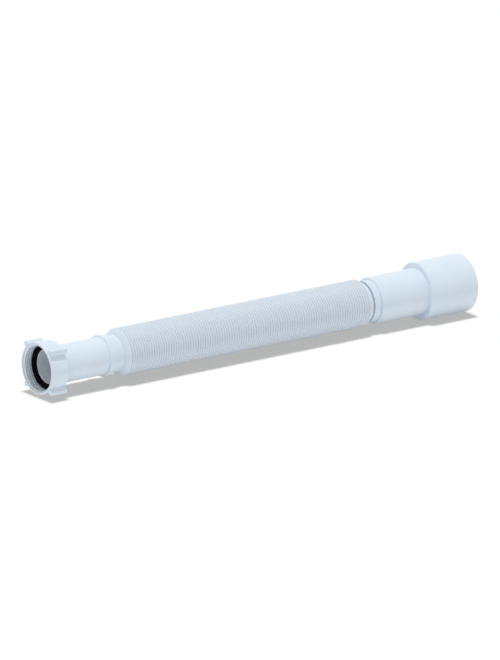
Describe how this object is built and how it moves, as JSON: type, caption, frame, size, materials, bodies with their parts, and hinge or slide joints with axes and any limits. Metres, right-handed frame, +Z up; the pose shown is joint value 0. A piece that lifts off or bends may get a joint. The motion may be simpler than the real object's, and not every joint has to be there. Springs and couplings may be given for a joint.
{
  "type": "flexible waste connector",
  "caption": "Flexible basin waste connector: winged union nut with a flat washer, plain tail, folded bellows that stretches and bends, and a spigot stepped from 40 to 50 mm.",
  "frame": {"origin": "on the pipe's axis, at the centre of the sealing washer's front face, where the end of the threaded fitting seats", "axes": "+X along the pipe towards the outlet, +Z up with the connector lying on its side"},
  "size_m": [0.4412, 0.05, 0.05],
  "materials": {
    "nut_plastic": "moulded white polypropylene, satin",
    "washer_rubber": "black moulded rubber, matt",
    "pipe_plastic": "moulded white polypropylene, satin",
    "bellows_plastic": "blown white polypropylene, satin to matt"
  },
  "bodies": {
    "inlet_end": {"inlet_tailpiece": "pipe_plastic", "sealing_washer": "washer_rubber"},
    "nut": {"union_nut": "nut_plastic"},
    "bellows": {"bellows": "bellows_plastic"},
    "outlet_end": {"outlet_spigot": "pipe_plastic"}
  },
  "joints": [
    {"name": "nut_spin", "type": "hinge", "parent": "inlet_end", "child": "nut", "pos_m": [0, 0, 0], "axis": [1, 0, 0], "continuous": true},
    {"name": "bellows_bend", "type": "hinge", "parent": "inlet_end", "child": "bellows", "pos_m": [0.1185, 0, 0], "axis": [0, 0, 1], "range_deg": [-40, 40], "deforming": ["bellows"]},
    {"name": "bellows_stretch", "type": "slide", "parent": "bellows", "child": "outlet_end", "axis": [1, 0, 0], "range_m": [0, 0.16], "deforming": ["bellows"]}
  ]
}
